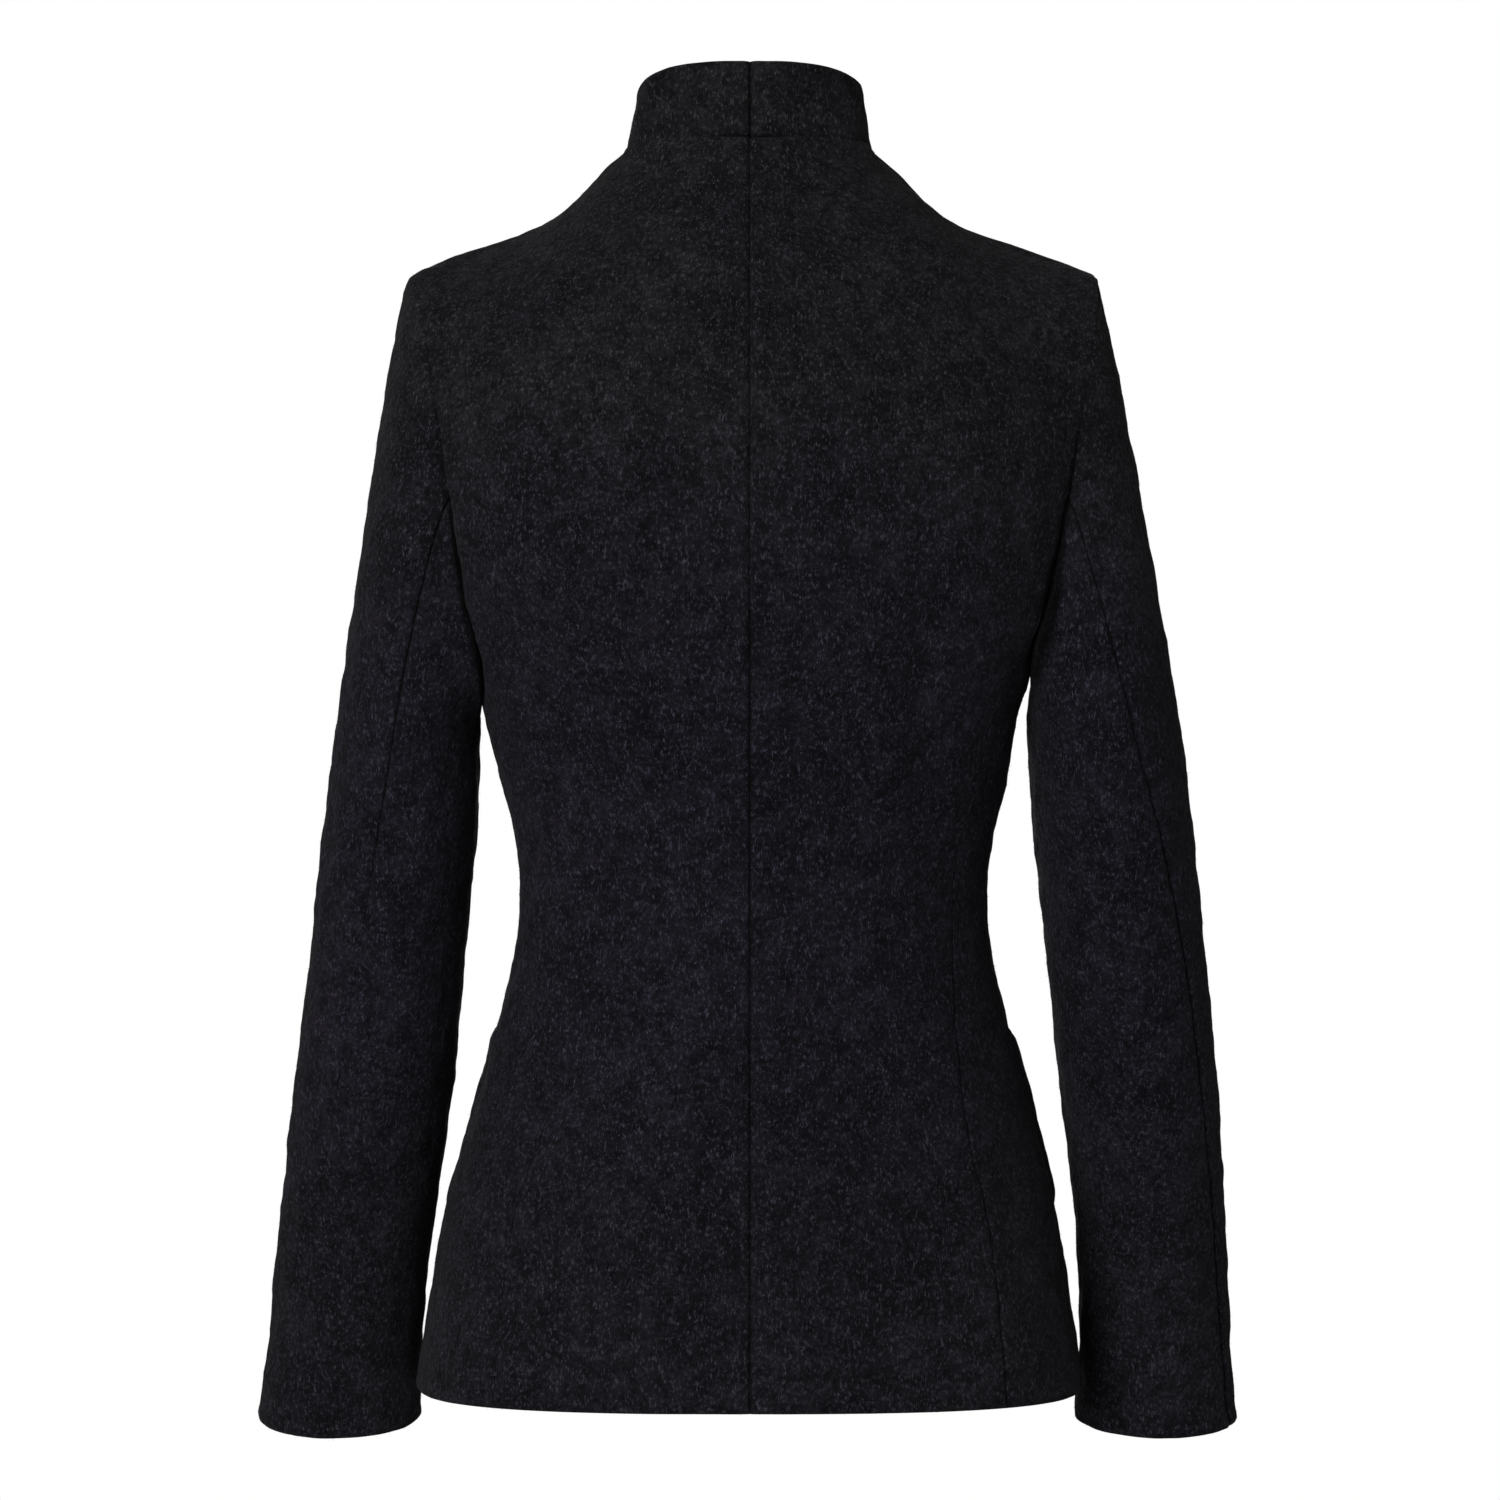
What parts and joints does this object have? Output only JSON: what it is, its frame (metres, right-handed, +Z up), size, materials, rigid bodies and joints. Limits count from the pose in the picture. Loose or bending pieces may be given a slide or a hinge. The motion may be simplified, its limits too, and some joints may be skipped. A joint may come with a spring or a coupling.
{
  "type": "wool jacket",
  "caption": "Fitted hip-length jacket of thick felted wool, with a stand collar, a flared hem and open hollow sleeves, closed down the front.",
  "frame": {"origin": "middle of the neck, level with the neck seam at the centre back, where the wearer's shoulders hold the jacket up", "axes": "+Z up, -Y towards the jacket's front, +Y towards its back, +X towards the wearer's left"},
  "size_m": [0.5372, 0.2658, 0.738],
  "materials": {
    "wool": "thick felted wool, charcoal with lighter flecks, matt with a soft nap",
    "button": "dark horn-like resin, softly polished"
  },
  "bodies": {
    "root": {"back_left": "wool", "back_right": "wool", "side_left": "wool", "side_right": "wool", "front_left": "wool", "front_right": "wool", "collar_left": "wool", "collar_right": "wool", "sleeve_top_left": "wool", "sleeve_top_right": "wool", "sleeve_under_left": "wool", "sleeve_under_right": "wool", "welt_left": "wool", "welt_right": "wool", "button_1": "button", "button_2": "button", "button_3": "button", "button_4": "button", "button_5": "button"}
  },
  "joints": []
}
